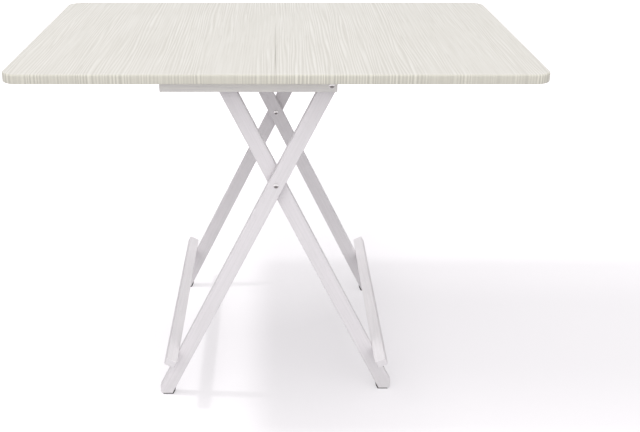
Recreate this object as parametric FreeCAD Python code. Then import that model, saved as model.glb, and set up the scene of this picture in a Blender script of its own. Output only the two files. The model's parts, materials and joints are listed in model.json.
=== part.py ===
import FreeCAD, Part
import math
import os

# Folding dining table. A rectangular top stands on two crossed leg frames. The outer frame
# is hinged to two rails under the top, the inner frame is bolted to it where the legs cross,
# and the dowel between the inner legs' tops sits in two catches under the top.
# Frame: X along the top, Y across it with the front at -Y, Z up, origin on the floor below
# the top's middle. Lengths are in millimetres, angles in degrees.

# Tabletop: a moulded board with rounded corners and a softer arris above than below.
top_length = 1000.0
top_width = 600.0
top_height = 750.0
top_thickness = 18.0
top_corner_radius = 30.0
top_arris_radius = 4.0
underside_arris_radius = 1.5

# Leg stock: straight laths with half-round tops, and feet cut level below and plumb outside.
leg_width = 31.0
leg_thickness = 17.0
leg_edge_radius = 1.5
foot_corner_radius = 5.0
leg_end_clearance = 1.5
leg_setback = 65.5
hinge_offset = 104.0
foot_spacing = 473.0

# Base bars: one lies on the upper edges of each pair of legs, just above the feet.
bar_setback = 24.5
bar_foot_gap = 66.5
bar_width = 24.0
bar_thickness = 16.0
bar_edge_radius = 1.5
bar_end_radius = 3.5

# Foot pads: a soft strip under each foot, bent up along the leg's inner edge.
pad_thickness = 2.5
pad_rise = 9.0

# Rails under the top, outside the legs.
rail_length = 332.0
rail_height = 30.0
rail_thickness = 16.0
rail_edge_radius = 1.5
rail_end_margin = 10.5
rail_screw_inset = 40.0
rail_screw_count = 3

# Hinge and pivot bolts, with low round heads and hexagon sockets.
bolt_diameter = 6.0
bolt_head_diameter = 11.0
bolt_head_height = 2.4
bolt_head_rim = 1.2
socket_width = 4.0
socket_depth = 1.5
running_clearance = 0.05
running_gap = 0.2
spacer_thickness = 3.3
spacer_diameter = 16.0
washer_thickness = 1.6
washer_diameter = 16.0
insert_diameter = 9.0
insert_length = 13.0
hinge_bolt_end_gap = 1.0
sleeve_diameter = 8.0
sleeve_length = 12.0

# Dowel between the inner legs, and the catches that it rests in: a flange that bears on it
# from above, with a cheek that leans in below it on the side that the legs spread to.
dowel_diameter = 22.0
catch_clearance = 0.3
catch_wall = 5.0
catch_width = 36.0
catch_leg_gap = 30.7
catch_lean = 20.0
catch_lip_length = 4.0
catch_root_radius = 4.0
flange_length = 76.0
flange_corner_radius = 6.0
catch_screw_spacing = 58.0

# Countersunk wood screws.
screw_diameter = 4.0
screw_head_diameter = 8.0
screw_head_height = 2.2
screw_tip_length = 4.0
screw_clearance = 0.1
rail_screw_length = 40.0
bar_screw_length = 45.0
dowel_screw_length = 50.0
catch_screw_length = 15.0

# How far every cut runs past the face it opens.
cut_overrun = 5.0

# Places that follow from the sizes above.
underside = top_height - top_thickness
leg_radius = leg_width / 2
hinge_height = underside - leg_radius - leg_end_clearance
foot_offset = foot_spacing / 2
foot_height = leg_radius + pad_thickness
leg_rise = hinge_height - foot_height
leg_run = hinge_offset + foot_offset
leg_reach = math.hypot(leg_run, leg_rise)
leg_lean = math.degrees(math.atan2(leg_run, leg_rise))
pivot_reach = leg_reach * foot_offset / leg_run
lean_turn = math.radians(leg_lean)
ankle_drop = leg_radius * math.tan(lean_turn / 2)
toe_reach = leg_radius * math.tan((math.pi / 2 - lean_turn) / 2)
outer_frame_width = top_width - 2 * leg_setback
outer_face = outer_frame_width / 2
outer_inside = outer_face - leg_thickness
inner_face = outer_inside - washer_thickness - running_gap
inner_inside = inner_face - leg_thickness
rail_inside = outer_face + spacer_thickness + running_gap
rail_outside = rail_inside + rail_thickness
rail_right = hinge_offset + rail_end_margin
rail_left = rail_right - rail_length
bar_length = top_width - 2 * bar_setback
bar_low = leg_radius + bar_foot_gap
bar_height_on_leg = bar_low + bar_thickness / 2
bolt_radius = bolt_diameter / 2
bolt_bore = bolt_radius + running_clearance
dowel_radius = dowel_diameter / 2
saddle_radius = dowel_radius + catch_clearance
catch_spacing = 2 * (inner_inside - catch_leg_gap) - catch_width
flange_underside = hinge_height + saddle_radius

Vector = FreeCAD.Vector
origin = Vector(0, 0, 0)
along_x = Vector(1, 0, 0)
along_y = Vector(0, 1, 0)
along_z = Vector(0, 0, 1)


def block(x_low, y_low, z_low, x_high, y_high, z_high):
    """Box between two corners."""
    corner = Vector(x_low, y_low, z_low)
    return Part.makeBox(x_high - x_low, y_high - y_low, z_high - z_low, corner)


def rod(radius, x, z, y_from, y_to):
    """Cylinder along +Y."""
    return Part.makeCylinder(radius, y_to - y_from, Vector(x, y_from, z), along_y)


def mirrored(shape, normal):
    """The same piece on the other side of the table's middle plane."""
    return shape.mirror(origin, normal)


def set_on_leg(shape):
    """Lean a piece drawn on an upright leg, with its foot's centre at the origin."""
    leaning = shape.copy()
    leaning.rotate(origin, along_y, leg_lean)
    leaning.translate(Vector(-foot_offset, 0, foot_height))
    return leaning


def circle_point(centre_x, centre_z, radius, angle):
    """Point on a circle in the XZ plane, its angle counted from +X towards +Z."""
    turn = math.radians(angle)
    return Vector(centre_x + radius * math.cos(turn), 0, centre_z + radius * math.sin(turn))


def on_upright_leg(x, z):
    """A point level and plumb from the foot's centre on a standing leg, as it lies on the upright leg."""
    level = Vector(math.cos(lean_turn), 0, math.sin(lean_turn))
    plumb = Vector(-math.sin(lean_turn), 0, math.cos(lean_turn))
    return level * x + plumb * z


def lath(reach, thickness):
    """Leg stock standing on Z: its foot about (0, 0), a half-round top about (0, reach), eased edges."""
    ease = foot_corner_radius * (1 - math.sqrt(0.5))
    ankle = Vector(-leg_radius, 0, -ankle_drop)
    plumb_end = on_upright_leg(-leg_radius, foot_corner_radius - leg_radius)
    corner = on_upright_leg(ease - leg_radius, ease - leg_radius)
    heel = on_upright_leg(foot_corner_radius - leg_radius, -leg_radius)
    toe = on_upright_leg(toe_reach, -leg_radius)
    top_right = Vector(leg_radius, 0, reach)
    crown = Vector(0, 0, reach + leg_radius)
    top_left = Vector(-leg_radius, 0, reach)
    edges = [
        Part.LineSegment(ankle, plumb_end).toShape(),
        Part.Arc(plumb_end, corner, heel).toShape(),
        Part.LineSegment(heel, toe).toShape(),
        Part.LineSegment(toe, top_right).toShape(),
        Part.Arc(top_right, crown, top_left).toShape(),
        Part.LineSegment(top_left, ankle).toShape(),
    ]
    solid = Part.Face(Part.Wire(edges)).extrude(Vector(0, thickness, 0))
    rims = [edge for edge in solid.Edges if abs(edge.BoundBox.YLength) < leg_edge_radius]
    return solid.makeFillet(leg_edge_radius, rims)


def spun(points):
    """Solid of revolution about Y from (radius, y) points, closed along the axis."""
    outline = [Vector(radius, y, 0) for radius, y in points]
    wire = Part.makePolygon(outline + outline[:1])
    return Part.Face(wire).revolve(origin, along_y, 360)


def hex_socket(y_from, y_to):
    """Six-sided prism along Y, for a bolt's driving socket."""
    corner_radius = socket_width / math.sqrt(3)
    corners = [circle_point(0, 0, corner_radius, 60 * turn) for turn in range(7)]
    prism = Part.Face(Part.makePolygon(corners)).extrude(Vector(0, y_to - y_from, 0))
    prism.translate(Vector(0, y_from, 0))
    return prism


def low_head():
    """Round head on Y = 0, rising towards -Y to a domed face with a hexagon socket."""
    radius = bolt_head_diameter / 2
    rim = Vector(radius, -bolt_head_rim, 0)
    crown = Vector(0, -bolt_head_height, 0)
    dome_rise = bolt_head_height - bolt_head_rim
    dome_radius = (radius ** 2 + dome_rise ** 2) / (2 * dome_rise)
    half_turn = math.asin(radius / dome_radius) / 2
    shoulder_drop = dome_radius * (1 - math.cos(half_turn))
    shoulder = Vector(dome_radius * math.sin(half_turn), shoulder_drop - bolt_head_height, 0)
    seat_edge = Vector(radius, 0, 0)
    edges = [
        Part.LineSegment(origin, seat_edge).toShape(),
        Part.LineSegment(seat_edge, rim).toShape(),
        Part.Arc(rim, shoulder, crown).toShape(),
        Part.LineSegment(crown, origin).toShape(),
    ]
    head = Part.Face(Part.Wire(edges)).revolve(origin, along_y, 360)
    socket_floor = socket_depth - bolt_head_height
    return head.cut(hex_socket(-bolt_head_height - cut_overrun, socket_floor))


def low_head_bolt(length):
    """Bolt along +Y with its head's seat at Y = 0."""
    return low_head().fuse(rod(bolt_radius, 0, 0, 0, length)).removeSplitter()


def wood_screw(length):
    """Countersunk screw along +Y with the flat of its head at Y = 0."""
    shank = screw_diameter / 2
    return spun([
        (0, 0),
        (screw_head_diameter / 2, 0),
        (shank, screw_head_height),
        (shank, length - screw_tip_length),
        (0, length),
    ])


def screw_hole(length):
    """The hole that a wood screw fills, open past its head."""
    shank = screw_diameter / 2 + screw_clearance
    head = screw_head_diameter / 2 + screw_clearance
    return spun([
        (0, -cut_overrun),
        (head, -cut_overrun),
        (head, 0),
        (shank, screw_head_height),
        (shank, length + screw_clearance),
        (0, length + screw_clearance),
    ])


def aimed(shape, place, direction):
    """Move a piece drawn along +Y to a place, pointing along a direction."""
    moved = shape.copy()
    moved.Placement = FreeCAD.Placement(place, FreeCAD.Rotation(along_y, direction))
    return moved


def without(shape, tools):
    """Cut a list of tools out of a piece."""
    return shape.cut(Part.makeCompound(tools)) if tools else shape


parts = {}


def front_and_rear(front_name, rear_name, shape):
    """Keep a piece drawn at the front, and its mirror image at the rear."""
    parts[front_name] = shape
    parts[rear_name] = mirrored(shape, along_y)


# Rail and catch screws point up into the top.
rail_middle = (rail_inside + rail_outside) / 2
rail_screw_step = (rail_length - 2 * rail_screw_inset) / (rail_screw_count - 1)
rail_screw_places = [
    Vector(rail_left + rail_screw_inset + rail_screw_step * index, -rail_middle, underside - rail_height)
    for index in range(rail_screw_count)
]
catch_screw_places = [
    Vector(-hinge_offset + side * catch_screw_spacing / 2, -catch_spacing / 2, flange_underside)
    for side in (-1, 1)
]
rail_screws = [aimed(wood_screw(rail_screw_length), place, along_z) for place in rail_screw_places]
catch_screws = [aimed(wood_screw(catch_screw_length), place, along_z) for place in catch_screw_places]
rail_holes = [aimed(screw_hole(rail_screw_length), place, along_z) for place in rail_screw_places]
catch_holes = [aimed(screw_hole(catch_screw_length), place, along_z) for place in catch_screw_places]

# Tabletop.
board = block(-top_length / 2, -top_width / 2, underside, top_length / 2, top_width / 2, top_height)
uprights = [edge for edge in board.Edges if edge.BoundBox.ZLength > top_thickness / 2]
board = board.makeFillet(top_corner_radius, uprights)
upper_rim = [edge for edge in board.Edges if edge.BoundBox.ZMin > top_height - top_thickness / 2]
board = board.makeFillet(top_arris_radius, upper_rim)
lower_rim = [edge for edge in board.Edges if edge.BoundBox.ZMax < underside + underside_arris_radius / 2]
board = board.makeFillet(underside_arris_radius, lower_rim)
front_holes = rail_holes + catch_holes
rear_holes = [mirrored(hole, along_y) for hole in front_holes]
parts["tabletop"] = without(board, front_holes + rear_holes)

# Rails, eased on every edge but those against the top.
rail = block(rail_left, -rail_outside, underside - rail_height, rail_right, -rail_inside, underside)
free_edges = [edge for edge in rail.Edges if edge.BoundBox.ZMin < underside - rail_height / 2]
rail = rail.makeFillet(rail_edge_radius, free_edges)
hinge_bore = rod(
    bolt_bore, hinge_offset, hinge_height, -rail_outside - cut_overrun, -rail_inside + cut_overrun,
)
front_and_rear("front_rail", "rear_rail", without(rail, rail_holes + [hinge_bore]))
front_and_rear("front_rail_screws", "rear_rail_screws", Part.makeCompound(rail_screws))

# Catches: the flange lies on the dowel, the cheek holds it back and is rounded at its tip.
catch_front = -(catch_spacing + catch_width) / 2
lean = math.radians(catch_lean)
outwards = Vector(-math.cos(lean), 0, -math.sin(lean))
downwards = Vector(math.sin(lean), 0, -math.cos(lean))
inner_tip = Vector(-hinge_offset, 0, hinge_height) + outwards * saddle_radius + downwards * catch_lip_length
outer_tip = inner_tip + outwards * catch_wall
lowest_tip = (inner_tip + outer_tip + downwards * catch_wall) / 2
half_flange = (underside - flange_underside) / 2
root_height = flange_underside + half_flange


def cheek_root(tip):
    """Follow the cheek's slope from its tip up into the flange."""
    return tip - downwards * ((root_height - tip.z) / math.cos(lean))


cheek_edges = [
    Part.LineSegment(cheek_root(inner_tip), inner_tip).toShape(),
    Part.Arc(inner_tip, lowest_tip, outer_tip).toShape(),
    Part.LineSegment(outer_tip, cheek_root(outer_tip)).toShape(),
    Part.LineSegment(cheek_root(outer_tip), cheek_root(inner_tip)).toShape(),
]
cheek = Part.Face(Part.Wire(cheek_edges)).extrude(Vector(0, catch_width, 0))
cheek.translate(Vector(0, catch_front, 0))
flange = block(
    -hinge_offset - flange_length / 2, catch_front, flange_underside,
    -hinge_offset + flange_length / 2, catch_front + catch_width, underside,
)
flange_uprights = [edge for edge in flange.Edges if edge.BoundBox.ZLength > half_flange]
flange = flange.makeFillet(flange_corner_radius, flange_uprights)
catch = flange.fuse(cheek).removeSplitter()
cheek_lines = [edge for edge in catch.Edges if edge.BoundBox.YLength > catch_width - flange_corner_radius]
root_lines = [edge for edge in cheek_lines if edge.BoundBox.ZMin > flange_underside - catch_lip_length]
catch = catch.makeFillet(catch_root_radius, root_lines)
front_and_rear("front_catch", "rear_catch", without(catch, catch_holes))
front_and_rear("front_catch_screws", "rear_catch_screws", Part.makeCompound(catch_screws))


# Base bars lie on the legs' upper edges, drawn on the outer frame's upright leg.
bar_near = -leg_radius
bar_far = bar_near - bar_width
bar = block(bar_far, -bar_length / 2, bar_low, bar_near, bar_length / 2, bar_low + bar_thickness)
end_corners = [edge for edge in bar.Edges if edge.BoundBox.ZLength > bar_thickness / 2]
bar = bar.makeFillet(bar_end_radius, end_corners)
bar_rims = [edge for edge in bar.Edges if edge.BoundBox.ZLength < bar_edge_radius]
bar = bar.makeFillet(bar_edge_radius, bar_rims)


def bar_screw_place(leg_outside):
    """Head of the screw that passes through the front leg of a frame into its base bar."""
    return Vector(leg_radius, -leg_outside + leg_thickness / 2, bar_height_on_leg)


def fitted_bar(leg_outside):
    """Bar with a screw hole over each of its two legs."""
    front_hole = aimed(screw_hole(bar_screw_length), bar_screw_place(leg_outside), -along_x)
    return without(bar, [front_hole, mirrored(front_hole, along_y)])


def bar_screws(leg_outside):
    """The bar's two screws."""
    front_screw = aimed(wood_screw(bar_screw_length), bar_screw_place(leg_outside), -along_x)
    return Part.makeCompound([front_screw, mirrored(front_screw, along_y)])


def front_leg(leg_outside, tools):
    """Front leg of a frame, upright, with its bar's screw hole and its own bores."""
    leg = lath(leg_reach, leg_thickness)
    leg.translate(Vector(0, -leg_outside, 0))
    bar_hole = aimed(screw_hole(bar_screw_length), bar_screw_place(leg_outside), -along_x)
    return without(leg, tools + [bar_hole])


# Foot pads, drawn on the outer frame's front foot.
pad_width = leg_thickness - 2 * leg_edge_radius


def front_pad(leg_outside):
    """Pad under the front leg of a frame."""
    up_leg = Vector(math.sin(lean_turn), 0, math.cos(lean_turn))
    beside = Vector(math.cos(lean_turn), 0, -math.sin(lean_turn)) * pad_thickness
    below = Vector(0, 0, -pad_thickness)
    bend = (beside + below).normalize() * pad_thickness
    heel = Vector(foot_corner_radius - leg_radius, 0, -leg_radius)
    toe = Vector(toe_reach, 0, -leg_radius)
    shin = toe + up_leg * pad_rise
    edges = [
        Part.LineSegment(heel, toe).toShape(),
        Part.LineSegment(toe, shin).toShape(),
        Part.LineSegment(shin, shin + beside).toShape(),
        Part.LineSegment(shin + beside, toe + beside).toShape(),
        Part.Arc(toe + beside, toe + bend, toe + below).toShape(),
        Part.LineSegment(toe + below, heel + below).toShape(),
        Part.LineSegment(heel + below, heel).toShape(),
    ]
    strip = Part.Face(Part.Wire(edges)).extrude(Vector(0, pad_width, 0))
    strip.translate(Vector(-foot_offset, -leg_outside + leg_edge_radius, foot_height))
    return strip


# Outer leg frame: a threaded insert in each leg's top takes the hinge bolt. The tops are planed flush
# with the rails' ends.
insert_end = -outer_face + insert_length
insert_seat = rod(insert_diameter / 2 + screw_clearance, 0, leg_reach, -outer_face - cut_overrun, insert_end)
outer_pivot_bore = rod(bolt_bore, 0, pivot_reach, -outer_face - cut_overrun, -outer_inside + cut_overrun)
outer_leg = front_leg(outer_face, [insert_seat, outer_pivot_bore])
past_rail = block(
    rail_right, -outer_face - cut_overrun, hinge_height - leg_width,
    rail_right + leg_width, -outer_inside + cut_overrun, underside,
)
front_and_rear("outer_leg_front", "outer_leg_rear", set_on_leg(outer_leg).cut(past_rail))
parts["outer_base_bar"] = set_on_leg(fitted_bar(outer_face))
parts["outer_bar_screws"] = set_on_leg(bar_screws(outer_face))
front_and_rear("outer_front_foot_pad", "outer_rear_foot_pad", front_pad(outer_face))

insert = rod(insert_diameter / 2, hinge_offset, hinge_height, -outer_face, insert_end)
insert_bore = rod(bolt_bore, hinge_offset, hinge_height, -outer_face - cut_overrun, insert_end + cut_overrun)
front_and_rear("front_hinge_insert", "rear_hinge_insert", insert.cut(insert_bore))

spacer_outside = -outer_face - spacer_thickness
spacer = rod(spacer_diameter / 2, hinge_offset, hinge_height, spacer_outside, -outer_face)
spacer_bore = rod(
    bolt_bore, hinge_offset, hinge_height, spacer_outside - cut_overrun, -outer_face + cut_overrun,
)
front_and_rear("front_hinge_spacer", "rear_hinge_spacer", spacer.cut(spacer_bore))

hinge_seat = -rail_outside - running_gap
hinge_bolt = low_head_bolt(insert_end - hinge_bolt_end_gap - hinge_seat)
hinge_bolt.translate(Vector(hinge_offset, hinge_seat, hinge_height))
front_and_rear("front_hinge_bolt", "rear_hinge_bolt", hinge_bolt)


# Inner leg frame, drawn like the outer one and mirrored to lean the other way.
def inner_front_and_rear(front_name, rear_name, shape):
    """Keep an inner-frame piece that was drawn on the outer frame's lean."""
    front_and_rear(front_name, rear_name, mirrored(shape, along_x))


sleeve_end = -inner_inside - sleeve_length
sleeve_bore = sleeve_diameter / 2 + screw_clearance
sleeve_seat = rod(sleeve_bore, 0, pivot_reach, sleeve_end, -inner_inside + cut_overrun)
inner_pivot_bore = rod(bolt_bore, 0, pivot_reach, -inner_face - cut_overrun, -inner_inside + cut_overrun)
dowel_screw_place = Vector(0, -inner_face, leg_reach)
dowel_screw_hole = aimed(screw_hole(dowel_screw_length), dowel_screw_place, along_y)
inner_leg = front_leg(inner_face, [sleeve_seat, inner_pivot_bore, dowel_screw_hole])
inner_front_and_rear("inner_leg_front", "inner_leg_rear", set_on_leg(inner_leg))
parts["inner_base_bar"] = mirrored(set_on_leg(fitted_bar(inner_face)), along_x)
parts["inner_bar_screws"] = mirrored(set_on_leg(bar_screws(inner_face)), along_x)
inner_front_and_rear("inner_front_foot_pad", "inner_rear_foot_pad", front_pad(inner_face))

dowel = rod(dowel_radius, 0, leg_reach, -inner_inside, inner_inside)
dowel_screw = aimed(wood_screw(dowel_screw_length), dowel_screw_place, along_y)
dowel = without(dowel, [dowel_screw_hole, mirrored(dowel_screw_hole, along_y)])
dowel_screws = Part.makeCompound([dowel_screw, mirrored(dowel_screw, along_y)])
parts["top_dowel"] = mirrored(set_on_leg(dowel), along_x)
parts["dowel_screws"] = mirrored(set_on_leg(dowel_screws), along_x)

# The bolt where the legs cross: head outside, washer between the legs, sleeve nut inside.
pivot_seat = -outer_face - running_gap
nut_bottom = sleeve_end + running_gap
pivot_bolt = low_head_bolt(-inner_inside - running_gap - pivot_seat)
pivot_bolt.translate(Vector(0, pivot_seat, pivot_reach))
inner_front_and_rear("front_pivot_bolt", "rear_pivot_bolt", set_on_leg(pivot_bolt))

washer = rod(washer_diameter / 2, 0, pivot_reach, -inner_face - washer_thickness, -inner_face)
washer_bore = rod(bolt_bore, 0, pivot_reach, -outer_face, -inner_inside)
inner_front_and_rear("front_pivot_washer", "rear_pivot_washer", set_on_leg(washer.cut(washer_bore)))

nut = mirrored(low_head(), along_y)
nut.translate(Vector(0, -inner_inside, pivot_reach))
nut = nut.fuse(rod(sleeve_diameter / 2, 0, pivot_reach, nut_bottom, -inner_inside)).removeSplitter()
nut = nut.cut(rod(bolt_bore, 0, pivot_reach, sleeve_end, -inner_inside))
inner_front_and_rear("front_pivot_nut", "rear_pivot_nut", set_on_leg(nut))

os.makedirs("parts", exist_ok=True)
for name, shape in parts.items():
    shape.exportStep(os.path.join("parts", name + ".step"))
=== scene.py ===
"""Looks of the folding dining table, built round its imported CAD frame."""

import json
import math

import bpy
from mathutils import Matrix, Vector


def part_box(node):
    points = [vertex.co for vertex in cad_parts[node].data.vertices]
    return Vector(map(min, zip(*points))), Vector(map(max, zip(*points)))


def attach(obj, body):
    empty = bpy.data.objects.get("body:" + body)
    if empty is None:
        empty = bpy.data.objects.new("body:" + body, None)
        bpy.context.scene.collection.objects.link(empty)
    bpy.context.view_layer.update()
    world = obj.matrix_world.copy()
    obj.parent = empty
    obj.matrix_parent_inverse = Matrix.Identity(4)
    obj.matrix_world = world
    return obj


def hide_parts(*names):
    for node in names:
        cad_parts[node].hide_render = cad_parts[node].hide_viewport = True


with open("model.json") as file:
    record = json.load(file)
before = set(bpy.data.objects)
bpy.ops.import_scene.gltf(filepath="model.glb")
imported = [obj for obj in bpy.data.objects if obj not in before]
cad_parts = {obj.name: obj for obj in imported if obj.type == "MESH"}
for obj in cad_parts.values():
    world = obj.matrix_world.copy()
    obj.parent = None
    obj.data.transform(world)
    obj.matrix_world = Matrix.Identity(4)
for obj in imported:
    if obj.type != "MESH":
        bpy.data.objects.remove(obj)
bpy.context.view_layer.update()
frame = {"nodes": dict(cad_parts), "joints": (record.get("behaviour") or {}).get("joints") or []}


# Tabletop. One board wrapped in a pale, embossed wood-grain film, which is drawn over a rounded arris and
# turned under the edge. The underside keeps its white backing sheet. The edge profile runs round the outline.

corner_radius = 0.030
arris_radius = 0.004
under_radius = 0.0015
film_lap = 0.012
film_thickness = 0.0003
weld_distance = 0.00002
corner_points = 14
arc_points = 6
sharp_from = 35.0
top_low, top_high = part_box("tabletop")


def add_node(tree, kind, inputs=None, **settings):
    """Add a node; inputs holds a link or a value for each socket's name or number."""
    node = tree.nodes.new(kind)
    for name, setting in settings.items():
        setattr(node, name, setting)
    for socket, value in (inputs or {}).items():
        if isinstance(value, bpy.types.NodeSocket):
            tree.links.new(value, node.inputs[socket])
        else:
            node.inputs[socket].default_value = value
    return node


def open_tree(name, kind, inputs, outputs):
    """Start a node tree with named sockets; returns it, its input sockets and its output sockets."""
    tree = bpy.data.node_groups.new(name, kind)
    for side, sockets in (("INPUT", inputs), ("OUTPUT", outputs)):
        for label, socket_type in sockets.items():
            tree.interface.new_socket(label, in_out=side, socket_type="NodeSocket" + socket_type)
    return tree, tree.nodes.new("NodeGroupInput").outputs, tree.nodes.new("NodeGroupOutput").inputs


def calc(tree, operation, first, second=0.0):
    """One step of arithmetic in a tree; returns its result."""
    return add_node(tree, "ShaderNodeMath", {0: first, 1: second}, operation=operation).outputs[0]


def vector_calc(tree, operation, first, second=(0.0, 0.0, 0.0)):
    """One step of vector arithmetic in a tree; returns its Vector and Value outputs."""
    return add_node(tree, "ShaderNodeVectorMath", {0: first, 1: second}, operation=operation).outputs


def axes(tree, vector):
    """The X, Y and Z of a vector."""
    return add_node(tree, "ShaderNodeSeparateXYZ", {0: vector}).outputs


def as_vector(tree, **parts):
    """A vector from its X, Y and Z."""
    return add_node(tree, "ShaderNodeCombineXYZ", parts).outputs[0]


def noise(tree, vector, scale, detail):
    """Soft noise over a vector, from 0 to 1."""
    pattern = {"Vector": vector, "Scale": scale, "Detail": detail}
    return add_node(tree, "ShaderNodeTexNoise", pattern).outputs["Fac"]


def fade(tree, value, start, end):
    """A mask that goes smoothly from 0 at start to 1 at end."""
    limits = {"Value": value, "From Min": start, "From Max": end}
    return add_node(tree, "ShaderNodeMapRange", limits, interpolation_type="SMOOTHSTEP").outputs["Result"]


def spread(tree, value, low, high):
    """A mask from 0 to 1, laid out between two values."""
    limits = {"Value": value, "To Min": low, "To Max": high}
    return add_node(tree, "ShaderNodeMapRange", limits).outputs["Result"]


def blend(tree, mask, base, over):
    """Mix a second colour into a first one by a mask."""
    return add_node(tree, "ShaderNodeMix", {0: mask, 6: base, 7: over}, data_type="RGBA").outputs[2]


def tint(tree, base, over, mask, share):
    """Mix a share of a second colour into a first one by a mask."""
    return blend(tree, calc(tree, "MULTIPLY", mask, share), base, over)


def arc(centre_x, centre_y, radius, start, end):
    """Points of an arc between two angles in degrees."""
    angles = [math.radians(start + (end - start) * i / arc_points) for i in range(arc_points + 1)]
    return [(centre_x + radius * math.cos(a), centre_y + radius * math.sin(a)) for a in angles]


def run_tree(name, mesh, tree, sizes):
    """Run a geometry tree on a mesh and keep its result as a plain object."""
    piece = bpy.data.objects.new(name, mesh)
    bpy.context.scene.collection.objects.link(piece)
    modifier = piece.modifiers.new(name, "NODES")
    modifier.node_group = tree
    for item in tree.interface.items_tree:
        if item.in_out == "INPUT" and item.name in sizes:
            modifier[item.identifier] = sizes[item.name]
    evaluated = piece.evaluated_get(bpy.context.evaluated_depsgraph_get())
    piece.data = bpy.data.meshes.new_from_object(evaluated)
    piece.modifiers.clear()
    piece.data.name = name
    return piece


def srgb(red, green, blue):
    """A colour as a screen shows it, from 0 to 255, in the linear values that a shader takes."""
    levels = [level / 255 for level in (red, green, blue)]
    return *[v / 12.92 if v <= 0.04045 else ((v + 0.055) / 1.055) ** 2.4 for v in levels], 1.0


def new_finish(name):
    """Start a material; returns it, its tree, its main shader and its Texture Coordinate outputs."""
    material = bpy.data.materials.new(name)
    material.use_nodes = True
    tree = material.node_tree
    return material, tree, tree.nodes["Principled BSDF"], add_node(tree, "ShaderNodeTexCoord").outputs


def emboss(tree, height, depth, strength, sunk=False):
    """Relief of a depth in metres; where it is sunk, the height goes inwards."""
    relief = {"Height": height, "Distance": depth, "Strength": strength}
    return add_node(tree, "ShaderNodeBump", relief, invert=sunk).outputs[0]


def set_surface(shader, colour, gloss, relief):
    """Feed a shader with its colour, its roughness and its relief."""
    for socket, value in (("Base Color", colour), ("Roughness", gloss), ("Normal", relief)):
        shader.id_data.links.new(value, shader.inputs[socket])


def add_group(tree, group, **inputs):
    """Place a shared effect in a material; returns its outputs."""
    return add_node(tree, "ShaderNodeGroup", inputs, node_tree=group).outputs


# Wood grain: the vector counts line widths across (X and Z) and line lengths along (Y). The ridges are the
# even lines of brushed growth rings, which swerve and come and go in patches. Each noise has a stretch along
# the axes and a detail, and each mask the noise levels at which it starts and is full.
bend_noise = ((0.04, 0.35, 0.04), 1.0)
swerve_noise = ((0.3, 0.5, 0.3), 1.0)
swerve_widths = 3.2
patch_noise = ((0.08, 0.45, 0.08), 2.0)
patch_levels = (0.36, 0.64)
grain_masks = {
    "Lines": ((1.5, 1.0, 1.5), 3.0, (0.32, 0.68)),
    "Figure": ((0.13, 0.3, 0.13), 1.0, (0.3, 0.7)),
    "Pores": ((3.0, 2.6, 3.0), 0.0, (0.64, 0.8)),
}
grain, given, made = open_tree(
    "wood_grain",
    "ShaderNodeTree",
    {"Vector": "Vector", "Wander": "Float"},
    {"Lines": "Float", "Figure": "Float", "Pores": "Float", "Ridges": "Float"},
)


def grain_noise(vector, stretch, detail):
    """Noise that is stretched by a factor along each axis of the grain."""
    return noise(grain, vector_calc(grain, "MULTIPLY", vector, stretch)["Vector"], 1.0, detail)


def both_ways(mask, reach):
    """A mask from 0 to 1, turned into a shift of up to half a reach to either side."""
    return calc(grain, "MULTIPLY", calc(grain, "SUBTRACT", mask, 0.5), reach)


sideways = as_vector(grain, X=both_ways(grain_noise(given["Vector"], *bend_noise), given["Wander"]))
bent = vector_calc(grain, "ADD", given["Vector"], sideways)["Vector"]
for label, (stretch, detail, levels) in grain_masks.items():
    grain.links.new(fade(grain, grain_noise(bent, stretch, detail), *levels), made[label])
swerve = both_ways(grain_noise(bent, *swerve_noise), swerve_widths)
ring = calc(grain, "ADD", axes(grain, bent)["X"], swerve)
ripple = calc(grain, "SINE", calc(grain, "MULTIPLY", ring, 2 * math.pi))
patch = fade(grain, grain_noise(bent, *patch_noise), *patch_levels)
grain.links.new(fade(grain, calc(grain, "MULTIPLY", ripple, patch), -1.0, 1.0), made["Ridges"])

# Handling: where hands and cloths have rubbed a surface smoother or left it duller. Each mask has the scale
# and the detail of its noise, and the noise levels at which it starts and is full.
handling_masks = {"Smudge": (7.0, 3.0, (0.35, 0.65)), "Speck": (240.0, 1.0, (0.66, 0.78))}
handling, given, made = open_tree(
    "handling", "ShaderNodeTree", {"Vector": "Vector"}, {"Smudge": "Float", "Speck": "Float"}
)
for label, (scale, detail, levels) in handling_masks.items():
    handling.links.new(fade(handling, noise(handling, given["Vector"], scale, detail), *levels), made[label])

# Worn arris: a band along every edge, broken up by noise, where a finish is rubbed; most finishes also lay a
# painted highlight on it. The turn is the cosine between a face and its eased edge, where the wear starts and
# where it is full.
wear_noise = (55.0, 3.0)
wear_levels = (0.35, 0.62)
wear_turn = (0.995, 0.85)
bevel_samples = 6
worn_arris, given, made = open_tree(
    "worn_arris", "ShaderNodeTree", {"Vector": "Vector", "Band": "Float"}, {"Edge": "Float"}
)
eased = add_node(worn_arris, "ShaderNodeBevel", {"Radius": given["Band"]}, samples=bevel_samples).outputs[0]
flat = add_node(worn_arris, "ShaderNodeNewGeometry").outputs["Normal"]
sharp = fade(worn_arris, vector_calc(worn_arris, "DOT_PRODUCT", eased, flat)["Value"], *wear_turn)
patchy = fade(worn_arris, noise(worn_arris, given["Vector"], *wear_noise), *wear_levels)
worn_arris.links.new(calc(worn_arris, "MULTIPLY", sharp, patchy), made["Edge"])

film_line_width = 0.0060
film_line_length = 0.19
film_wander = 2.0
film_wear_band = 0.003
film_emboss_depth = 0.00022
film_emboss_strength = 0.5
film_cream = srgb(235, 232, 226)
film_line = srgb(209, 205, 196)
film_pale = srgb(242, 239, 234)
film_gloss = (0.4, 0.52)
film_smudge_gloss = 0.06
figure_share = 0.35
ridge_share = 0.5
line_share = 0.25
pore_share = 0.35
pore_depth_share = 0.4
film_highlight_share = 0.15

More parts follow.
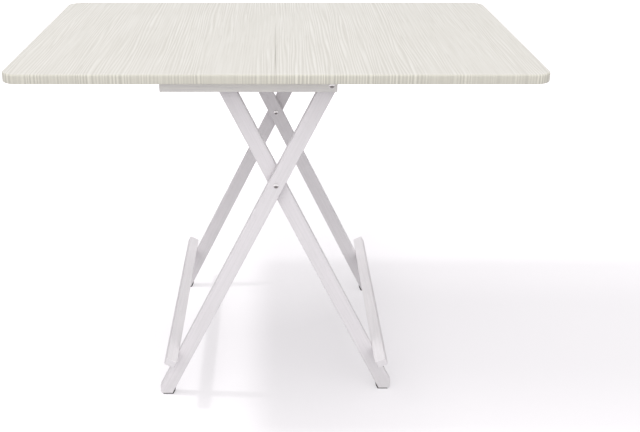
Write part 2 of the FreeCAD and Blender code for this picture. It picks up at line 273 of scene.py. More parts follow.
wood_grain_film, tree, shader, place = new_finish("wood_grain_film")
spot = axes(tree, place["Object"])
facing = axes(tree, place["Normal"])
level = calc(tree, "ABSOLUTE", facing["Z"])
# The film's lines run along the depth, down the long edges and along the two ends.
end_facing = (0.8, 0.99)
on_end = fade(tree, calc(tree, "ABSOLUTE", facing["X"]), *end_facing)
drop = calc(tree, "MULTIPLY", calc(tree, "SUBTRACT", spot["Z"], top_high.z), on_end)
across = calc(tree, "DIVIDE", calc(tree, "ADD", spot["X"], drop), film_line_width)
along = calc(tree, "DIVIDE", spot["Y"], film_line_length)
down = calc(tree, "DIVIDE", spot["Z"], film_line_length)
film_grain = add_group(tree, grain, Vector=as_vector(tree, X=across, Y=along, Z=down), Wander=film_wander)
rubbed = add_group(tree, handling, Vector=place["Object"])
edges = add_group(tree, worn_arris, Vector=place["Object"], Band=film_wear_band)
tone = tint(tree, film_cream, film_pale, film_grain["Figure"], figure_share)
tone = blend(tree, ridge_share, tone, blend(tree, film_grain["Ridges"], film_pale, film_line))
tone = tint(tree, tone, film_line, film_grain["Lines"], line_share)
tone = tint(tree, tone, film_line, film_grain["Pores"], pore_share)
# On the edge the lines come in bunches, and the arris is nearly plain. The edge's colours are darker than the
# top's: partly the film's own tone, and partly painted shade, which sets in right at the arris.
edge_cream_and_shade = srgb(229, 226, 214)
edge_line_and_shade = srgb(194, 191, 180)
edge_facing = (0.998, 0.8)
side_facing = (0.8, 0.35)
bunch_length = 0.03
bunch_detail = 1.0
bunch_levels = (0.36, 0.6)
bunch_contrast = (0.3, 1.25)
side_contrast = (0.4, 1.0)
fleck_share = 0.5
on_edge = fade(tree, level, *edge_facing)
on_side = fade(tree, level, *side_facing)
bunch = as_vector(tree, X=calc(tree, "DIVIDE", spot["X"], bunch_length))
bunch = fade(tree, noise(tree, bunch, 1.0, bunch_detail), *bunch_levels)
contrast = calc(tree, "MULTIPLY", spread(tree, bunch, *bunch_contrast), spread(tree, on_side, *side_contrast))
ridge = calc(tree, "MULTIPLY", calc(tree, "SUBTRACT", film_grain["Ridges"], 0.5), contrast)
turned = blend(tree, calc(tree, "ADD", ridge, 0.5), edge_cream_and_shade, edge_line_and_shade)
turned = tint(tree, turned, edge_line_and_shade, calc(tree, "MULTIPLY", film_grain["Lines"], on_side), fleck_share)
tone = blend(tree, on_edge, tone, turned)
# One dark vein in the figure, faint at its ends and deep over a short stretch. Each stretch has its middle,
# half its length, half the length that is full, and its share of the vein's colour.
vein_dark = srgb(168, 163, 153)
vein_x = -0.0008
vein_width = 0.0022
vein_stretches = ((-0.13, 0.24, 0.14, 0.35), (-0.185, 0.12, 0.01, 0.65))
beside = calc(tree, "ABSOLUTE", calc(tree, "SUBTRACT", spot["X"], vein_x))
beside = fade(tree, beside, vein_width, 0.0)
for middle, half, full, share in vein_stretches:
    lengthwise = calc(tree, "ABSOLUTE", calc(tree, "SUBTRACT", spot["Y"], middle))
    vein = calc(tree, "MULTIPLY", fade(tree, lengthwise, half, full), share)
    tone = tint(tree, tone, vein_dark, beside, vein)
# Painted highlight: the worn arris is paler.
tone = tint(tree, tone, film_pale, edges["Edge"], film_highlight_share)
gloss = spread(tree, film_grain["Lines"], *film_gloss)
gloss = calc(tree, "ADD", gloss, calc(tree, "MULTIPLY", rubbed["Smudge"], film_smudge_gloss))
relief = calc(tree, "MULTIPLY", film_grain["Pores"], pore_depth_share)
relief = calc(tree, "ADD", film_grain["Ridges"], relief)
set_surface(shader, tone, gloss, emboss(tree, relief, film_emboss_depth, film_emboss_strength, sunk=True))

sheet_white = srgb(206, 203, 197)
sheet_dull = srgb(192, 188, 181)
sheet_dull_share = 0.5
sheet_gloss = (0.5, 0.62)
sheet_relief_depth = 0.0001
sheet_relief_strength = 0.4

backing_sheet, tree, shader, place = new_finish("backing_sheet")
rubbed = add_group(tree, handling, Vector=place["Object"])
tone = tint(tree, sheet_white, sheet_dull, rubbed["Smudge"], sheet_dull_share)
tone = tint(tree, tone, sheet_dull, rubbed["Speck"], sheet_dull_share)
gloss = spread(tree, rubbed["Smudge"], *sheet_gloss)
set_surface(shader, tone, gloss, emboss(tree, rubbed["Speck"], sheet_relief_depth, sheet_relief_strength))

# The wrapped board: the edge profile is the tree's own mesh, swept round the outline. Two flat sheets close
# the top and the underside.
board, given, made = open_tree(
    "wrapped_board",
    "GeometryNodeTree",
    {
        "Geometry": "Geometry",
        "Length": "Float",
        "Width": "Float",
        "Corner Radius": "Float",
        "Corner Points": "Int",
        "Arris": "Float",
        "Lap": "Float",
        "Top Height": "Float",
        "Sheet Height": "Float",
        "Weld Distance": "Float",
        "Film": "Material",
        "Sheet": "Material",
    },
    {"Geometry": "Geometry"},
)


def board_outline(inset):
    """The board's rounded outline, a given distance in from its edge."""
    both = calc(board, "MULTIPLY", inset, 2.0)
    size = {
        "Width": calc(board, "SUBTRACT", given["Length"], both),
        "Height": calc(board, "SUBTRACT", given["Width"], both),
    }
    rounding = {
        "Curve": add_node(board, "GeometryNodeCurvePrimitiveQuadrilateral", size).outputs["Curve"],
        "Count": given["Corner Points"],
        "Radius": calc(board, "SUBTRACT", given["Corner Radius"], inset),
    }
    return add_node(board, "GeometryNodeFilletCurve", rounding, mode="POLY").outputs["Curve"]


def raised(tree, mesh, height):
    """Lift a mesh along Z in a geometry tree."""
    lift = {"Geometry": mesh, "Translation": as_vector(tree, Z=height)}
    return add_node(tree, "GeometryNodeTransform", lift).outputs["Geometry"]


def board_sheet(inset, height):
    """A flat sheet inside the board's outline, at a height."""
    sheet = add_node(board, "GeometryNodeFillCurve", {"Curve": board_outline(inset)}, mode="NGONS")
    return raised(board, sheet.outputs["Mesh"], height)


def half_straight(side):
    """Half of a straight side of the board, as far as the corner's centre."""
    return calc(board, "SUBTRACT", calc(board, "MULTIPLY", given[side], 0.5), given["Corner Radius"])


# The profile's outward way, at any point of the outline, is away from the nearest point of the board's middle
# rectangle, whose corners are the centres of the rounded corners.
reach = as_vector(board, X=half_straight("Length"), Y=half_straight("Width"))
back = vector_calc(board, "MULTIPLY", reach, (-1.0, -1.0, -1.0))["Vector"]
position = add_node(board, "GeometryNodeInputPosition").outputs[0]
inner = vector_calc(board, "MINIMUM", position, reach)["Vector"]
inner = vector_calc(board, "MAXIMUM", inner, back)["Vector"]
outwards = vector_calc(board, "SUBTRACT", position, inner)["Vector"]
outwards = vector_calc(board, "NORMALIZE", outwards)["Vector"]
path = add_node(board, "GeometryNodeReverseCurve", {"Curve": board_outline(given["Arris"])}).outputs["Curve"]
path = add_node(board, "GeometryNodeSetCurveNormal", {"Curve": path, "Normal": outwards}, mode="FREE")
path = path.outputs["Curve"]
profile = add_node(board, "GeometryNodeMeshToCurve", {"Mesh": given["Geometry"]}).outputs["Curve"]
band = add_node(board, "GeometryNodeCurveToMesh", {"Curve": path, "Profile Curve": profile}).outputs["Mesh"]
band = add_node(board, "GeometryNodeFlipFaces", {"Mesh": band}).outputs["Mesh"]
upper = board_sheet(given["Arris"], given["Top Height"])
lower = board_sheet(calc(board, "ADD", given["Arris"], given["Lap"]), given["Sheet Height"])
lower = add_node(board, "GeometryNodeFlipFaces", {"Mesh": lower}).outputs["Mesh"]
whole = add_node(board, "GeometryNodeJoinGeometry")
for skin, finish in ((lower, "Sheet"), (upper, "Film"), (band, "Film")):
    skin = add_node(board, "GeometryNodeSetMaterial", {"Geometry": skin, "Material": given[finish]})
    board.links.new(skin.outputs[0], whole.inputs[0])
weld = {"Geometry": whole.outputs[0], "Distance": given["Weld Distance"]}
welded = add_node(board, "GeometryNodeMergeByDistance", weld).outputs[0]
board.links.new(add_node(board, "GeometryNodeRealizeInstances", {0: welded}).outputs[0], made[0])

film_underside = top_low.z - film_thickness
profile_points = [
    *arc(0.0, top_high.z - arris_radius, arris_radius, 90, 0),
    *arc(arris_radius - under_radius, film_underside + under_radius, under_radius, 0, -90),
    (-film_lap, film_underside),
    (-film_lap, top_low.z),
]
profile_edges = [(i, i + 1) for i in range(len(profile_points) - 1)]
edge_profile = bpy.data.meshes.new("edge_profile")
edge_profile.from_pydata([(x, y, 0.0) for x, y in profile_points], profile_edges, [])
tabletop = run_tree(
    "wrapped_tabletop",
    edge_profile,
    board,
    {
        "Length": top_high.x - top_low.x,
        "Width": top_high.y - top_low.y,
        "Corner Radius": corner_radius,
        "Corner Points": corner_points,
        "Arris": arris_radius,
        "Lap": film_lap,
        "Top Height": top_high.z,
        "Sheet Height": top_low.z,
        "Weld Distance": weld_distance,
        "Film": wood_grain_film,
        "Sheet": backing_sheet,
    },
)
tabletop.data.set_sharp_from_angle(angle=math.radians(sharp_from))
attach(tabletop, "tabletop_unit")
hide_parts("tabletop")


# Rails. Two square-sawn softwood laths, sprayed white and screwed up into the underside of the top. The outer
# legs hang between them.

paint_white = srgb(231, 227, 230)
paint_warm_with_bounce = srgb(235, 233, 228)
paint_grain = srgb(220, 217, 219)
worn_edge_highlight = srgb(240, 238, 239)
paint_scuffed_and_shaded = srgb(206, 202, 201)
paint_line_width = 0.0036
paint_line_length = 0.13
paint_wander = 4.0
paint_wear_band = 0.0015
paint_relief_depth = 0.00012
paint_relief_strength = 0.4
paint_gloss = (0.36, 0.5)
paint_line_gloss = 0.08
paint_wear_gloss = 0.1
paint_grain_share = 0.5
paint_speck_share = 0.25
paint_highlight_share = 0.6
scuff_and_shade_height = 0.06
scuff_and_shade_shares = (0.12, 0.22)


def painted_wood(name, turn, white):
    """Paint of one white on a lath; turn, in degrees, lays the grain's Y axis along the wood."""
    paint, tree, shader, place = new_finish(name)
    fibre = (paint_line_width, paint_line_length, paint_line_width)
    lay = {"Vector": place["Object"], "Rotation": [math.radians(angle) for angle in turn], "Scale": fibre}
    lay = add_node(tree, "ShaderNodeMapping", lay, vector_type="TEXTURE").outputs[0]
    wood = add_group(tree, grain, Vector=lay, Wander=paint_wander)
    rubbed = add_group(tree, handling, Vector=place["Object"])
    edges = add_group(tree, worn_arris, Vector=place["Object"], Band=paint_wear_band)
    # Near the floor the paint is darker: scuffs, and painted shade where the feet stand on the floor.
    near_floor = fade(tree, axes(tree, place["Object"])["Z"], scuff_and_shade_height, 0.0)
    scuffs_and_floor_shade = calc(tree, "MULTIPLY", near_floor, spread(tree, rubbed["Smudge"], *scuff_and_shade_shares))
    tone = tint(tree, white, paint_grain, wood["Lines"], paint_grain_share)
    tone = tint(tree, tone, paint_grain, wood["Pores"], paint_grain_share)
    tone = tint(tree, tone, paint_scuffed_and_shaded, rubbed["Speck"], paint_speck_share)
    tone = blend(tree, scuffs_and_floor_shade, tone, paint_scuffed_and_shaded)
    # Painted highlight: worn edges are lighter in colour, as well as rubbed glossier.
    tone = tint(tree, tone, worn_edge_highlight, edges["Edge"], paint_highlight_share)
    gloss = spread(tree, rubbed["Smudge"], *paint_gloss)
    gloss = calc(tree, "ADD", gloss, calc(tree, "MULTIPLY", wood["Lines"], paint_line_gloss))
    gloss = calc(tree, "SUBTRACT", gloss, calc(tree, "MULTIPLY", edges["Edge"], paint_wear_gloss))
    relief = calc(tree, "ADD", wood["Lines"], wood["Pores"])
    relief = emboss(tree, relief, paint_relief_depth, paint_relief_strength, sunk=True)
    set_surface(shader, tone, gloss, relief)
    return paint


def dress(finish, *nodes):
    """Give CAD pieces their finish."""
    for node in nodes:
        for slot in frame["nodes"][node].material_slots:
            slot.material = finish


# The rails' white is warmer than the legs': partly painted warm light thrown from the board above.
dress(painted_wood("painted_rail", (0, 0, -90), paint_warm_with_bounce), "front_rail", "rear_rail")


# Catches. Two white forked blocks moulded in tough plastic with a fine spark-etched face, each screwed to the
# underside with two screws. They take the inner frame's dowel.

catch_white = srgb(232, 230, 228)
catch_flow = srgb(222, 219, 216)
catch_flow_share = 0.5
catch_wear_band = 0.001
catch_highlight_share = 0.4
catch_gloss = (0.42, 0.56)
etch_scale = 1500.0
etch_detail = 2.0
etch_depth = 0.00005
etch_strength = 0.5

moulded_catch, tree, shader, place = new_finish("moulded_catch")
rubbed = add_group(tree, handling, Vector=place["Object"])
edges = add_group(tree, worn_arris, Vector=place["Object"], Band=catch_wear_band)
tone = tint(tree, catch_white, catch_flow, rubbed["Smudge"], catch_flow_share)
# Painted highlight: the worn edges are lighter.
tone = tint(tree, tone, worn_edge_highlight, edges["Edge"], catch_highlight_share)
gloss = spread(tree, rubbed["Smudge"], *catch_gloss)
etch = noise(tree, place["Object"], etch_scale, etch_detail)
set_surface(shader, tone, gloss, emboss(tree, etch, etch_depth, etch_strength))
dress(moulded_catch, "front_catch", "rear_catch")


# Outer leg frame. Two white painted laths with half-round tops and feet cut level, hinged to the rails near
# one end of the top. A base bar with slightly rounded ends lies on their upper edges just above the feet.

joints = {joint["name"]: Vector(joint["pos_m"]) for joint in frame["joints"]}
hinge, pivot = joints["outer_leg_fold"], joints["inner_leg_scissor"]
leg_lean = math.degrees(math.atan2(hinge.x - pivot.x, hinge.z - pivot.z))
painted_bar = painted_wood("painted_bar", (0, 0, 0), paint_white)
dress(painted_wood("painted_outer_leg", (90, leg_lean, 0), paint_white), "outer_leg_front", "outer_leg_rear")
dress(painted_bar, "outer_base_bar")


# Inner leg frame. The same laths and bar, set just inside the outer legs and crossed with them, joined at the
# top by a painted dowel that bears up into the catches.

dress(painted_wood("painted_inner_leg", (90, -leg_lean, 0), paint_white), "inner_leg_front", "inner_leg_rear")
dress(painted_bar, "inner_base_bar", "top_dowel")


# Bolts. Nickel-plated bolts with low domed heads and hexagon sockets, at the hinges and where the legs cross.
# The hinge bolts go into threaded inserts in the outer legs, and sleeve nuts take those of the crossing.

nickel = srgb(226, 224, 224)
nickel_dull = srgb(198, 195, 195)
nickel_dull_share = 0.5
nickel_wear_band = 0.0004
nickel_highlight_share = 0.5
nickel_gloss = (0.18, 0.4)
plating_scale = 900.0
plating_detail = 3.0
plating_depth = 0.00003
plating_strength = 0.3
painted_head_shade = srgb(126, 122, 121)
head_rim = 0.0054
head_blend = 0.0009

nickel_plate, tree, shader, place = new_finish("nickel_plate")
rubbed = add_group(tree, handling, Vector=place["Object"])
edges = add_group(tree, worn_arris, Vector=place["Object"], Band=nickel_wear_band)
tone = tint(tree, nickel, nickel_dull, rubbed["Smudge"], nickel_dull_share)
# Painted highlight: the worn edges are lighter.
tone = tint(tree, tone, worn_edge_highlight, edges["Edge"], nickel_highlight_share)
# Painted shade: each head is darker over its lower half, where its dome faces the floor.
flat_spot = vector_calc(tree, "MULTIPLY", place["Object"], (1.0, 0.0, 1.0))["Vector"]
height = axes(tree, flat_spot)["Z"]
for bolt in (hinge, pivot):
    off_axis = vector_calc(tree, "DISTANCE", flat_spot, (bolt.x, 0.0, bolt.z))["Value"]
    on_head = fade(tree, off_axis, head_rim, head_rim - head_blend)
    lower_half = fade(tree, height, bolt.z + head_blend / 2, bolt.z - head_blend / 2)
    tone = blend(tree, calc(tree, "MULTIPLY", on_head, lower_half), tone, painted_head_shade)
plating = noise(tree, place["Object"], plating_scale, plating_detail)
gloss = spread(tree, plating, *nickel_gloss)
set_surface(shader, tone, gloss, emboss(tree, plating, plating_depth, plating_strength))
shader.inputs["Metallic"].default_value = 1.0
for piece in ("hinge_bolt", "hinge_insert", "pivot_bolt", "pivot_nut"):
    dress(nickel_plate, f"front_{piece}", f"rear_{piece}")


# Spacers and washers. Natural nylon rings, turned from bar, that keep the painted legs from rubbing on the
# rails and on each other.

nylon_pale = srgb(236, 233, 224)
nylon_deep = srgb(222, 217, 204)
nylon_gloss = (0.4, 0.55)
nylon_glow_share = 0.15
nylon_glow_depth = 0.003
tool_mark_scale = 2600.0
tool_mark_depth = 0.00002
tool_mark_strength = 0.3

turned_nylon, tree, shader, place = new_finish("turned_nylon")
rubbed = add_group(tree, handling, Vector=place["Object"])
tone = blend(tree, rubbed["Smudge"], nylon_pale, nylon_deep)
gloss = spread(tree, rubbed["Smudge"], *nylon_gloss)
marks = {"Vector": place["Object"], "Scale": tool_mark_scale}
marks = add_node(tree, "ShaderNodeTexWave", marks, bands_direction="Y").outputs["Fac"]
set_surface(shader, tone, gloss, emboss(tree, marks, tool_mark_depth, tool_mark_strength))
shader.inputs["Subsurface Weight"].default_value = nylon_glow_share
shader.inputs["Subsurface Scale"].default_value = nylon_glow_depth
for piece in ("hinge_spacer", "pivot_washer"):
    dress(turned_nylon, f"front_{piece}", f"rear_{piece}")


# Screws. Zinc-plated countersunk wood screws with a cross recess: up through the rails and catches into the
# top, through the legs into the base bars, and through the inner legs into the dowel's ends.

screw_head_radius = 0.004
screw_head_height = 0.0022
screw_head_sides = 32
screw_root_radius = 0.0014
screw_root_sides = 16
screw_crest_radius = 0.00195
screw_tip_length = 0.004
screw_pitch = 0.0018
thread_steps = 14
thread_sides = 3
recess_width = 0.0009
recess_span = 0.0044
recess_depth = 0.0014
dowel_screw_length = 0.050
zinc = srgb(198, 200, 202)
zinc_warm = srgb(190, 184, 168)
zinc_gloss = (0.28, 0.44)
zinc_wear_band = 0.0003
zinc_highlight_share = 0.5
cloud_scale = 260.0
cloud_detail = 2.0
cloud_levels = (0.4, 0.65)
cloud_depth = 0.00003
cloud_strength = 0.3

zinc_plate, tree, shader, place = new_finish("zinc_plate")
rubbed = add_group(tree, handling, Vector=place["Object"])
edges = add_group(tree, worn_arris, Vector=place["Object"], Band=zinc_wear_band)
cloud = noise(tree, place["Object"], cloud_scale, cloud_detail)
tone = blend(tree, fade(tree, cloud, *cloud_levels), zinc, zinc_warm)
# Painted highlight: the worn edges are lighter.
tone = tint(tree, tone, worn_edge_highlight, edges["Edge"], zinc_highlight_share)
gloss = spread(tree, rubbed["Smudge"], *zinc_gloss)
set_surface(shader, tone, gloss, emboss(tree, cloud, cloud_depth, cloud_strength))
shader.inputs["Metallic"].default_value = 1.0

screws, given, made = open_tree(
    "wood_screws",
    "GeometryNodeTree",
    {
        "Geometry": "Geometry",
        "Length": "Float",
        "Head Radius": "Float",
        "Head Height": "Float",
        "Head Sides": "Int",
        "Root Radius": "Float",
        "Root Sides": "Int",
        "Crest Radius": "Float",
        "Tip Length": "Float",
        "Pitch": "Float",
        "Thread Steps": "Int",
        "Thread Sides": "Int",
        "Recess Width": "Float",
        "Recess Span": "Float",
        "Recess Depth": "Float",
        "Finish": "Material",
    },
    {"Geometry": "Geometry"},
)
# A screw stands on its head's face at the origin and points up.
cone = {
    "Vertices": given["Head Sides"],
    "Radius Top": given["Root Radius"],
    "Radius Bottom": given["Head Radius"],
    "Depth": given["Head Height"],
}
head = add_node(screws, "GeometryNodeMeshCone", cone).outputs["Mesh"]
cutters = add_node(screws, "GeometryNodeJoinGeometry")
twice_depth = calc(screws, "MULTIPLY", given["Recess Depth"], 2.0)
for long_side, short_side in (("X", "Y"), ("Y", "X")):
    sides = {long_side: given["Recess Span"], short_side: given["Recess Width"], "Z": twice_depth}
    wing = add_node(screws, "GeometryNodeMeshCube", {"Size": as_vector(screws, **sides)})
    screws.links.new(wing.outputs["Mesh"], cutters.inputs[0])
recess = {"Mesh 1": head, "Mesh 2": cutters.outputs[0], "Self Intersection": True}
recess = add_node(screws, "GeometryNodeMeshBoolean", recess, operation="DIFFERENCE", solver="EXACT")
head = recess.outputs["Mesh"]
below_head = calc(screws, "SUBTRACT", given["Length"], given["Head Height"])
shank_length = calc(screws, "SUBTRACT", below_head, given["Tip Length"])
rod = {"Vertices": given["Root Sides"], "Radius": given["Root Radius"], "Depth": shank_length}
shank = add_node(screws, "GeometryNodeMeshCylinder", rod).outputs["Mesh"]
shank_middle = calc(screws, "ADD", given["Head Height"], calc(screws, "MULTIPLY", shank_length, 0.5))
shank = raised(screws, shank, shank_middle)
point = {
    "Vertices": given["Root Sides"],
    "Radius Top": 0.0,
    "Radius Bottom": given["Root Radius"],
    "Depth": given["Tip Length"],
}
tip = add_node(screws, "GeometryNodeMeshCone", point).outputs["Mesh"]
tip = raised(screws, tip, calc(screws, "SUBTRACT", given["Length"], given["Tip Length"]))
helix = {
    "Resolution": given["Thread Steps"],
    "Rotations": calc(screws, "DIVIDE", shank_length, given["Pitch"]),
    "Start Radius": given["Root Radius"],
    "End Radius": given["Root Radius"],
    "Height": shank_length,
}
helix = add_node(screws, "GeometryNodeCurveSpiral", helix).outputs["Curve"]
flank = calc(screws, "SUBTRACT", given["Crest Radius"], given["Root Radius"])
flank = {"Resolution": given["Thread Sides"], "Radius": flank}
flank = add_node(screws, "GeometryNodeCurvePrimitiveCircle", flank).outputs["Curve"]
thread = {"Curve": helix, "Profile Curve": flank, "Fill Caps": True}
thread = add_node(screws, "GeometryNodeCurveToMesh", thread).outputs["Mesh"]
thread = raised(screws, thread, given["Head Height"])
screw = add_node(screws, "GeometryNodeJoinGeometry")
for part in (head, shank, tip, thread):
    screws.links.new(part, screw.inputs[0])
aim = add_node(screws, "GeometryNodeInputNamedAttribute", {"Name": "aim"}, data_type="FLOAT_VECTOR")
aim = {"Vector": aim.outputs["Attribute"]}
aim = add_node(screws, "FunctionNodeAlignRotationToVector", aim, axis="Z").outputs["Rotation"]
placed = {"Points": given["Geometry"], "Instance": screw.outputs[0], "Rotation": aim}
placed = add_node(screws, "GeometryNodeInstanceOnPoints", placed).outputs["Instances"]
real = add_node(screws, "GeometryNodeRealizeInstances", {"Geometry": placed}).outputs["Geometry"]
plated = add_node(screws, "GeometryNodeSetMaterial", {"Geometry": real, "Material": given["Finish"]})
screws.links.new(plated.outputs[0], made[0])


def drive_screws(name, body, nodes, length, heads, aims):
    """Make one group of like screws from the places of their heads and the ways they point."""
    places = bpy.data.meshes.new(name)
    places.from_pydata(heads, [], [])
    ways = places.attributes.new("aim", "FLOAT_VECTOR", "POINT")
    for way, direction in zip(ways.data, aims):
        way.vector = direction
    sizes = {
        "Length": length,
        "Head Radius": screw_head_radius,
        "Head Height": screw_head_height,
        "Head Sides": screw_head_sides,
        "Root Radius": screw_root_radius,
        "Root Sides": screw_root_sides,
        "Crest Radius": screw_crest_radius,
        "Tip Length": screw_tip_length,
        "Pitch": screw_pitch,
        "Thread Steps": thread_steps,
        "Thread Sides": thread_sides,
        "Recess Width": recess_width,
        "Recess Span": recess_span,
        "Recess Depth": recess_depth,
        "Finish": zinc_plate,
    }
    group = run_tree(name, places, screws, sizes)
    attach(group, body)
    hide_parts(*nodes)


def upright_screws(name, nodes, count):
    """Screws that point up, in an even row in each node."""
    heads = []
    for node in nodes:
        low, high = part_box(node)
        first, last = low.x + screw_head_radius, high.x - screw_head_radius
        row = [first + (last - first) * i / (count - 1) for i in range(count)]
        heads += [(x, (low.y + high.y) / 2, low.z) for x in row]
    drive_screws(name, "tabletop_unit", nodes, high.z - low.z, heads, [(0, 0, 1)] * len(heads))


def bar_screws(name, body, node, side):
    """Screws square to the legs of one frame, up into its base bar; side is the way that the feet stand."""
    low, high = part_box(node)
    lean = math.radians(leg_lean)
    way = Vector((side * math.cos(lean), 0, math.sin(lean)))
    start = high.x if side < 0 else low.x
    head_x = start + side * screw_head_radius * math.sin(lean)
    head_z = low.z + screw_head_radius * math.cos(lean)
    length = (high.z - head_z) / math.sin(lean)
    heads = [(head_x, y, head_z) for y in (low.y + screw_head_radius, high.y - screw_head_radius)]
    drive_screws(name, body, [node], length, heads, [way, way])


upright_screws("rail_wood_screws", ["front_rail_screws", "rear_rail_screws"], count=3)
upright_screws("catch_wood_screws", ["front_catch_screws", "rear_catch_screws"], count=2)
bar_screws("outer_bar_wood_screws", "outer_leg_frame", "outer_bar_screws", side=-1)
bar_screws("inner_bar_wood_screws", "inner_leg_frame", "inner_bar_screws", side=1)
dowel_low, dowel_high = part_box("dowel_screws")
dowel_middle = (dowel_low + dowel_high) / 2
drive_screws(
    "dowel_wood_screws",
    "inner_leg_frame",
    ["dowel_screws"],
    dowel_screw_length,
    [(dowel_middle.x, y, dowel_middle.z) for y in (dowel_low.y, dowel_high.y)],
    [(0, 1, 0), (0, -1, 0)],
)


# Foot pads. Strips of black rubber glued under the level feet and bent up along their inner edge, so that the
# feet neither slip nor mark the floor.

rubber_black = srgb(52, 51, 52)
rubber_dust = srgb(112, 110, 108)
rubber_dust_share = 0.35
rubber_wear_band = 0.0008
rubber_wear_share = 0.5
rubber_gloss = (0.7, 0.88)
pebble_scale = 700.0
pebble_depth = 0.0002
pebble_strength = 0.4

rubber_pad, tree, shader, place = new_finish("rubber_pad")
rubbed = add_group(tree, handling, Vector=place["Object"])
edges = add_group(tree, worn_arris, Vector=place["Object"], Band=rubber_wear_band)
tone = tint(tree, rubber_black, rubber_dust, rubbed["Smudge"], rubber_dust_share)
tone = tint(tree, tone, rubber_dust, edges["Edge"], rubber_wear_share)
gloss = spread(tree, rubbed["Smudge"], *rubber_gloss)
pebble = {"Vector": place["Object"], "Scale": pebble_scale}
pebble = add_node(tree, "ShaderNodeTexVoronoi", pebble).outputs["Distance"]
set_surface(shader, tone, gloss, emboss(tree, pebble, pebble_depth, pebble_strength))
dress(rubber_pad, *[f"{leg}_{end}_foot_pad" for leg in ("outer", "inner") for end in ("front", "rear")])


# Floor. A matt white studio floor that takes the table's shadow. The eye and mirrors see it a little brighter
# than it is lit, so that it meets the white background without an edge.

floor_reach = 9.0
floor_white = (0.38, 0.37, 0.382, 1.0)
floor_gloss = 0.9
floor_glow_tint = (1.0, 0.975, 1.0, 1.0)
floor_glow = 0.46

studio_floor, tree, shader, place = new_finish("studio_floor")
shader.inputs["Base Color"].default_value = floor_white
shader.inputs["Roughness"].default_value = floor_gloss
shader.inputs["Specular IOR Level"].default_value = 0.0
shader.inputs["Emission Color"].default_value = floor_glow_tint


def seen_directly(tree):
    """1 for what the camera, a mirror or glass sees, and 0 for the light that falls on other things."""
    rays = add_node(tree, "ShaderNodeLightPath").outputs
    mirrored = calc(tree, "MAXIMUM", rays["Is Glossy Ray"], rays["Is Transmission Ray"])
    return calc(tree, "MAXIMUM", rays["Is Camera Ray"], mirrored)


# Painted light: the floor's glow rises round the shadow, so that the shadow thins out to all sides and past
# it the floor is plain white. Each lift has its axis, the places where it starts and is full, and the glow
# that it adds. The far one goes by the distance from the middle.
rear_lift = ("Y", -0.02, 0.2, 0.07)
right_lift = ("X", 0.0, 0.45, 0.105)
left_lift = ("X", 0.02, -0.13, 0.065)
front_lift = ("Y", -0.1, -0.36, 0.035)
behind_lift = ("Y", 0.12, 0.3, 0.03)
far_lift = ("Far", 0.75, 1.1, 0.25)
shadow_middle = (0.35, 0.2, 0.0)
ground = dict(axes(tree, place["Object"]).items())
ground["Far"] = vector_calc(tree, "DISTANCE", place["Object"], shadow_middle)["Value"]


def lifted(axis, start, end, gain):
    """Painted glow that the floor gains along an axis."""
    return calc(tree, "MULTIPLY", fade(tree, ground[axis], start, end), gain)


glow = calc(tree, "ADD", calc(tree, "MAXIMUM", lifted(*rear_lift), lifted(*right_lift)), floor_glow)
for lift in (left_lift, front_lift, behind_lift, far_lift):
    glow = calc(tree, "ADD", glow, lifted(*lift))
tree.links.new(calc(tree, "MULTIPLY", seen_directly(tree), glow), shader.inputs["Emission Strength"])
floor_mesh = bpy.data.meshes.new("floor")
corners = [(x * floor_reach, y * floor_reach, 0.0) for x, y in ((-1, -1), (1, -1), (1, 1), (-1, 1))]
floor_mesh.from_pydata(corners, [], [(0, 1, 2, 3)])
floor_mesh.materials.append(studio_floor)
floor = bpy.data.objects.new("floor", floor_mesh)
bpy.context.scene.collection.objects.link(floor)


# Light. A white room that is brightest above and in front. A bulb in a broad globe hangs on the left and
# lights the floor alone, so that the shadow falls to the right. Behind the table a small lamp, which casts no
# shadow, lights each base bar alone.

key_place = (-2.67, 0.0, 4.2)
globe_radius = 1.15
globe_power = 282.0
bulb_radius = 0.16
bulb_power = 310.0
bar_lamp_side = 0.2
bar_lamp_back = 0.5
bar_lamp_height = 0.45
bar_lamp_radius = 0.05
outer_bar_power = 5.4
inner_bar_power = 6.0
room_front = (0.0, -0.64, 0.77)
room_focus = 2.0
room_dim = 0.3
room_bright = 1.65
low_focus = 4.0
room_low = 0.35
room_back = 0.45
white = (1.0, 1.0, 1.0, 1.0)


def add_lamp(name, place, radius, power, lit_piece):
    """Hang a round lamp that lights one piece alone; returns it."""
    lamp = bpy.data.objects.new(name, bpy.data.lights.new(name, "POINT"))
    lamp.location = place
    lamp.data.shadow_soft_size = radius
    lamp.data.energy = power
    receivers = bpy.data.collections.new(name + "_receivers")
    receivers.objects.link(lit_piece)
    lamp.light_linking.receiver_collection = receivers
    bpy.context.scene.collection.objects.link(lamp)
    return lamp


def add_bar_lamp(leg, side, power):
    """Hang a lamp that casts no shadow for the base bar of one leg frame."""
    bar = frame["nodes"][f"{leg}_base_bar"]
    lamp_place = (side, bar_lamp_back, bar_lamp_height)
    lamp = add_lamp(f"{leg}_bar_lamp", lamp_place, bar_lamp_radius, power, bar)
    lamp.data.use_shadow = False


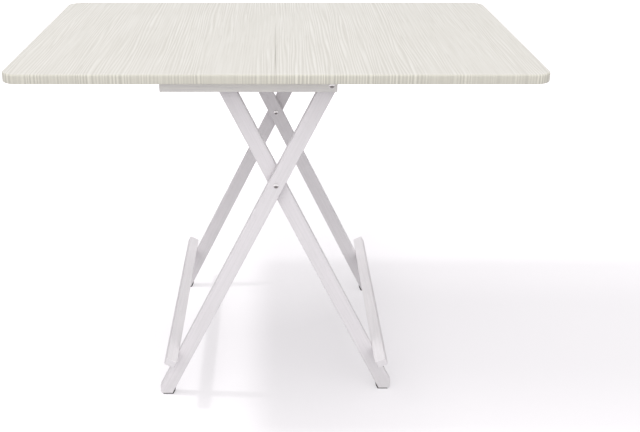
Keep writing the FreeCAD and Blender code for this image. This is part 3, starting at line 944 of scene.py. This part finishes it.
add_lamp("globe_lamp", key_place, globe_radius, globe_power, floor)
add_lamp("bulb_lamp", key_place, bulb_radius, bulb_power, floor)
add_bar_lamp("outer", bar_lamp_side, outer_bar_power)
add_bar_lamp("inner", -bar_lamp_side, inner_bar_power)

room = bpy.data.worlds.new("studio_room")
room.use_nodes = True
tree = room.node_tree
way = add_node(tree, "ShaderNodeTexCoord").outputs["Generated"]


def lobe(toward, focus, strength):
    """Light that is strongest in one direction, and narrower with a higher focus."""
    share = calc(tree, "MAXIMUM", vector_calc(tree, "DOT_PRODUCT", way, toward)["Value"], 0.0)
    return calc(tree, "MULTIPLY", calc(tree, "POWER", share, focus), strength)


level = calc(tree, "ADD", lobe(room_front, room_focus, room_bright), room_dim)
level = calc(tree, "ADD", lobe((0.0, -1.0, 0.0), low_focus, room_low), level)
level = calc(tree, "ADD", lobe((0.0, 1.0, 0.0), low_focus, room_back), level)
soft_light = add_node(tree, "ShaderNodeBackground", {"Color": white, "Strength": level}).outputs[0]
white_wall = add_node(tree, "ShaderNodeBackground", {"Color": white, "Strength": 1.0}).outputs[0]
shown = add_node(tree, "ShaderNodeMixShader", {0: seen_directly(tree), 1: soft_light, 2: white_wall})
tree.links.new(shown.outputs[0], tree.nodes["World Output"].inputs["Surface"])
bpy.context.scene.world = room
bpy.context.scene.view_settings.view_transform = "Standard"


# Camera. It stands in front of the table, a little over a metre above the floor, and looks down at it. The
# frame is cut off-centre, as the photograph's is.

picture_width = 640
picture_height = 432
focal_pixels = 864.17
axis_pixel_x = 276.0
axis_pixel_y = 159.02
camera_place = (0.0, -1.78784, 1.2052)
camera_pitch = 22.58

camera_data = bpy.data.cameras.new("camera")
camera_data.lens = camera_data.sensor_width * focal_pixels / picture_width
camera_data.shift_x = (picture_width / 2 - axis_pixel_x) / picture_width
camera_data.shift_y = (axis_pixel_y - picture_height / 2) / picture_width
camera = bpy.data.objects.new("camera", camera_data)
camera.location = camera_place
camera.rotation_euler = (math.radians(90 - camera_pitch), 0.0, 0.0)
bpy.context.scene.collection.objects.link(camera)
bpy.context.scene.camera = camera
